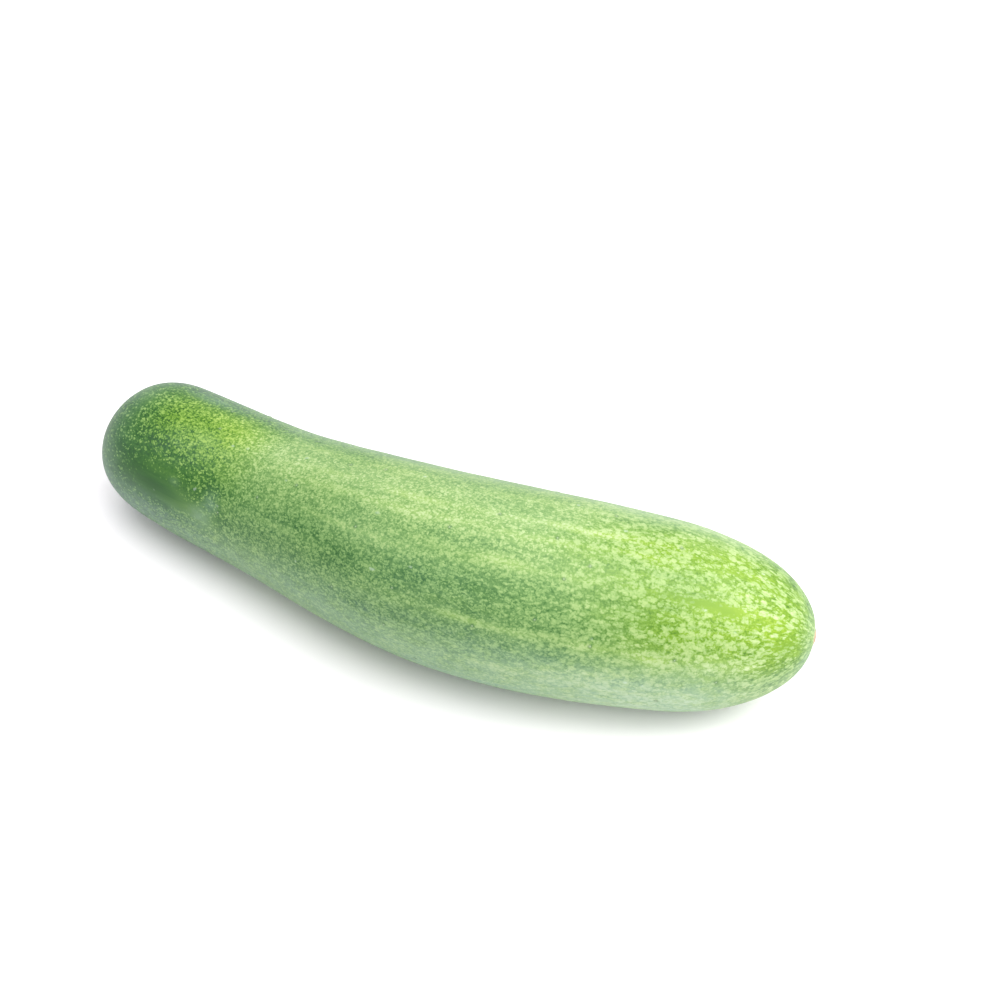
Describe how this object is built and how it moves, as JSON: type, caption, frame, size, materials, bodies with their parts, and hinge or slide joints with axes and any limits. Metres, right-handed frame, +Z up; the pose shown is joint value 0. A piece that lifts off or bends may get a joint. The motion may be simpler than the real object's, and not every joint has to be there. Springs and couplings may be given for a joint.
{
  "type": "cucumber",
  "caption": "Whole fresh cucumber, blunt-ended and gently bent, with speckled green skin, lying on its side.",
  "frame": {"origin": "middle of the bounding box's footprint, on the surface that the cucumber rests on", "axes": "+X along the fruit's length towards the blossom end, +Z up, and the bend lies in the XY plane with its hollow side towards +Y"},
  "size_m": [0.2004, 0.0598, 0.0509],
  "materials": {
    "cucumber_skin": "fresh cucumber skin, waxy satin, dark green at the stem end to yellow-green with cream speckles at the blossom end"
  },
  "bodies": {
    "root": {"cucumber": "cucumber_skin"}
  },
  "joints": []
}
